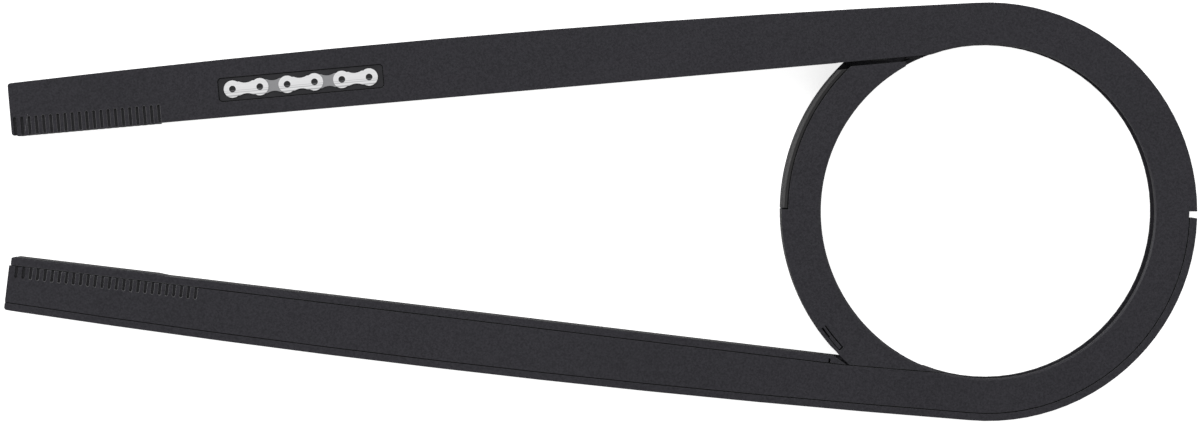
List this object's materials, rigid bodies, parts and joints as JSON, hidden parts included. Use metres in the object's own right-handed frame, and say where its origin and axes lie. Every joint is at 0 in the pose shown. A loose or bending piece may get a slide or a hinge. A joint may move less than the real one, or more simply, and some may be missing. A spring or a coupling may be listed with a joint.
{
  "type": "bicycle chain guard",
  "caption": "Black moulded chain guard for a bicycle: a hollow ring round the chainring with two long hollow arms for the upper and lower chain runs.",
  "frame": {"origin": "on the axis of the chainring's hole, at the plane of the frame-side face that the guard lies on", "axes": "+X forward, from the mouths of the arms to the ring, along the guard's centre line; +Y towards the upper arm; +Z from the frame side to the drive side"},
  "size_m": [0.4951, 0.174, 0.0182],
  "materials": {
    "shell": "fine spark-eroded grain, matt black",
    "arc": "fine spark-eroded grain, matt black",
    "badge_panel": "smooth satin black",
    "badge_relief": "bright silver foil over the relief"
  },
  "bodies": {
    "root": {"drive_side_shell": "shell", "frame_side_shell": "shell", "drive_side_arc": "arc", "frame_side_arc": "arc", "badge_panel": "badge_panel", "badge_links": "badge_relief"}
  },
  "joints": []
}
